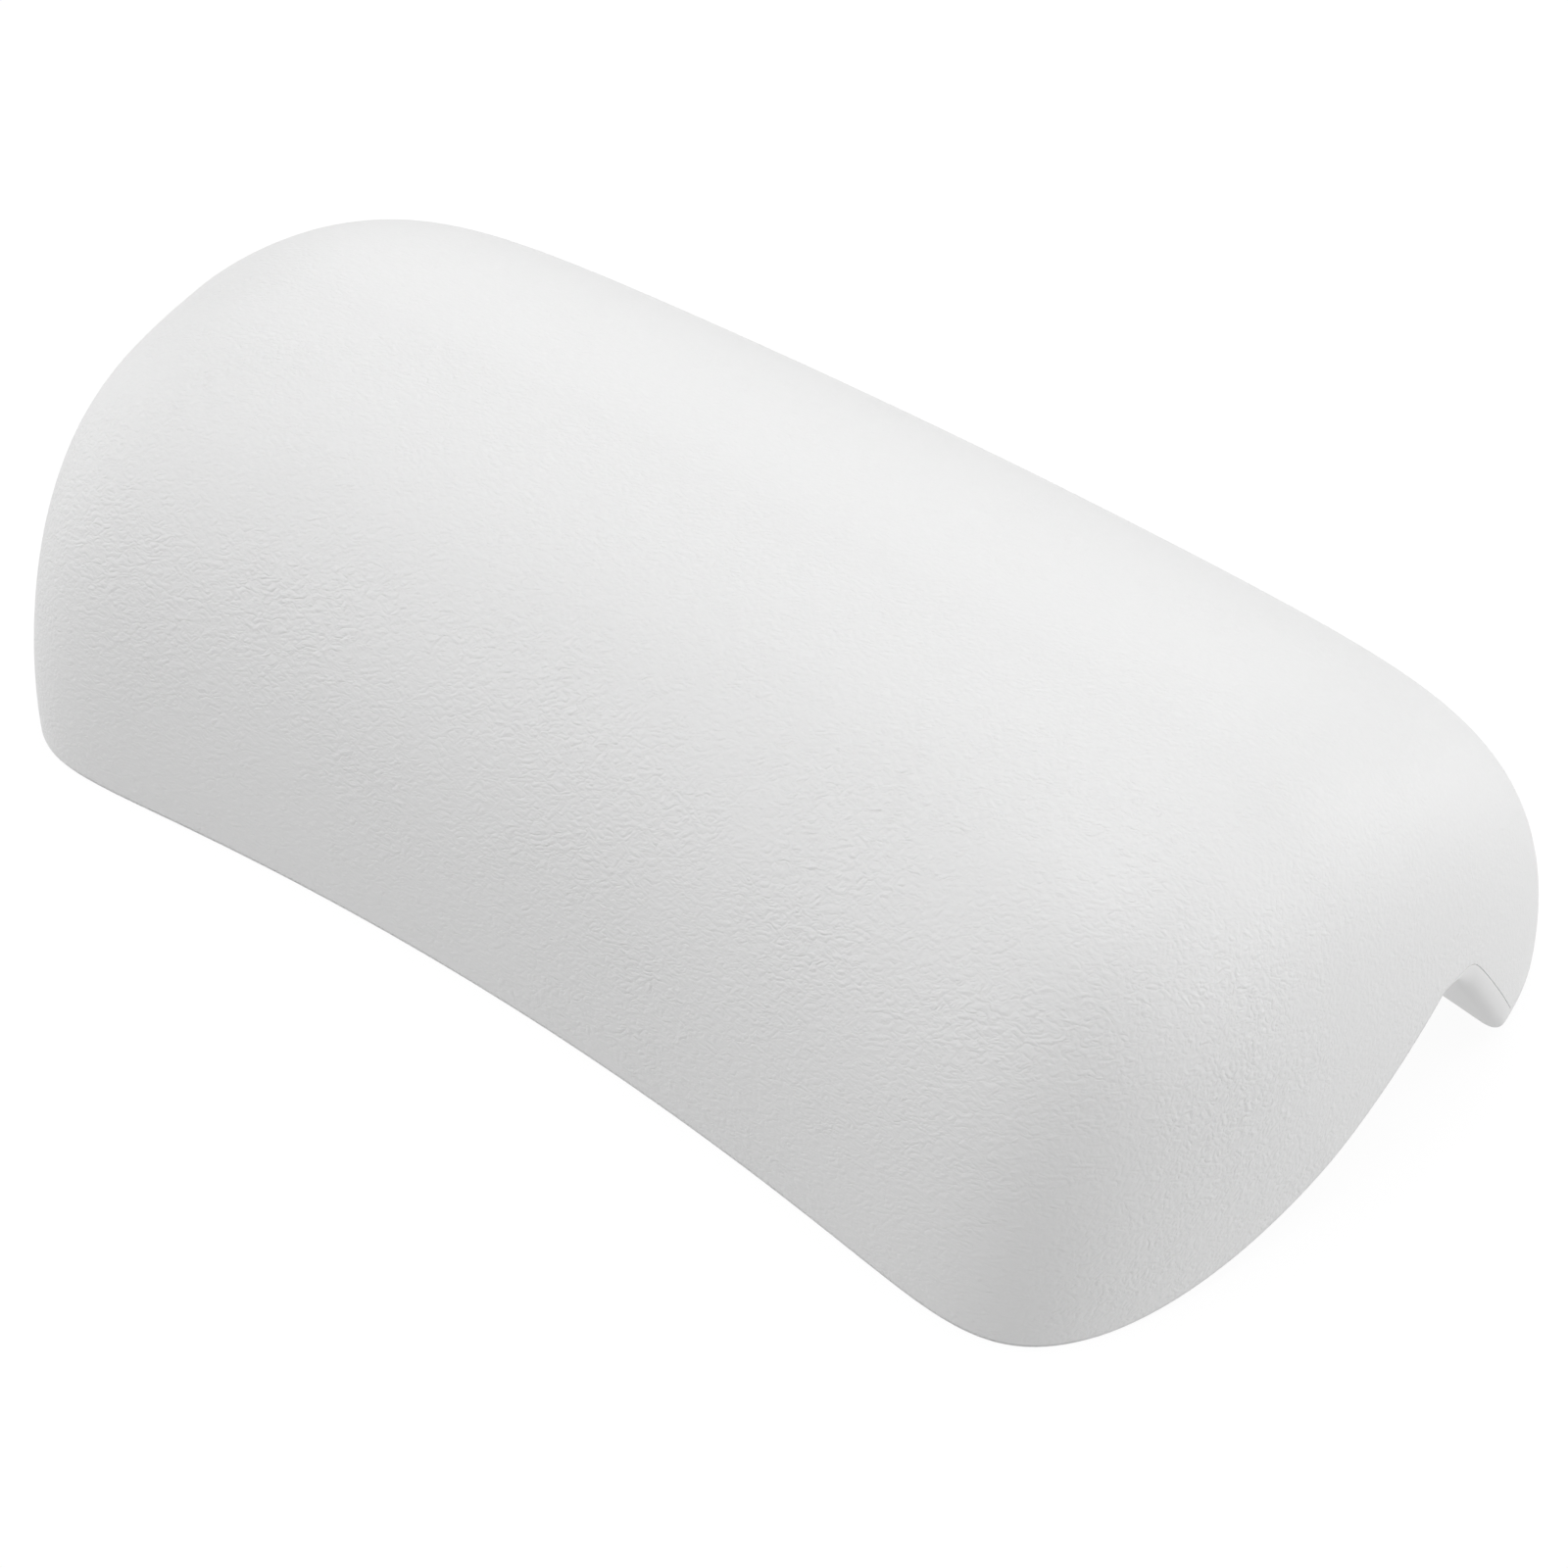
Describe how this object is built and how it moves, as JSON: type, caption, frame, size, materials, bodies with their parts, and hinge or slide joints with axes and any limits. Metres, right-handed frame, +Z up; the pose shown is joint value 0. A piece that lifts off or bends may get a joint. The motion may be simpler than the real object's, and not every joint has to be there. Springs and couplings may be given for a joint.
{
  "type": "bath pillow",
  "caption": "Moulded foam headrest for a bathtub, with a grained cover, a lip that hooks over the tub's edge and suction cups that turn on its underside",
  "frame": {"origin": "middle of the base plane that the front foot and the lip stand on", "axes": "+X runs along the pillow from its left end to its right end, +Y from the head side to the lip, +Z up"},
  "size_m": [0.3064, 0.17, 0.0834],
  "materials": {
    "cover": "white skin with a fine leather-like grain",
    "foam": "soft foam",
    "base": "smooth white skin",
    "plate": "plain moulded",
    "socket": "satin",
    "cup": "clear, soft, smooth"
  },
  "bodies": {
    "pillow": {"grained_cover": "cover", "foam_core": "foam", "base_skin": "base", "anchor_plate": "plate", "cup_socket_left": "socket", "cup_socket_right": "socket"},
    "left_cup": {"suction_cup_left": "cup"},
    "right_cup": {"suction_cup_right": "cup"}
  },
  "joints": [
    {"name": "left_cup_turn", "type": "hinge", "parent": "pillow", "child": "left_cup", "pos_m": [-0.07492, -0.00891, 0.01559], "axis": [0, -0.497, 0.8678], "continuous": true},
    {"name": "right_cup_turn", "type": "hinge", "parent": "pillow", "child": "right_cup", "pos_m": [0.07492, -0.00891, 0.01559], "axis": [0, -0.497, 0.8678], "continuous": true}
  ]
}
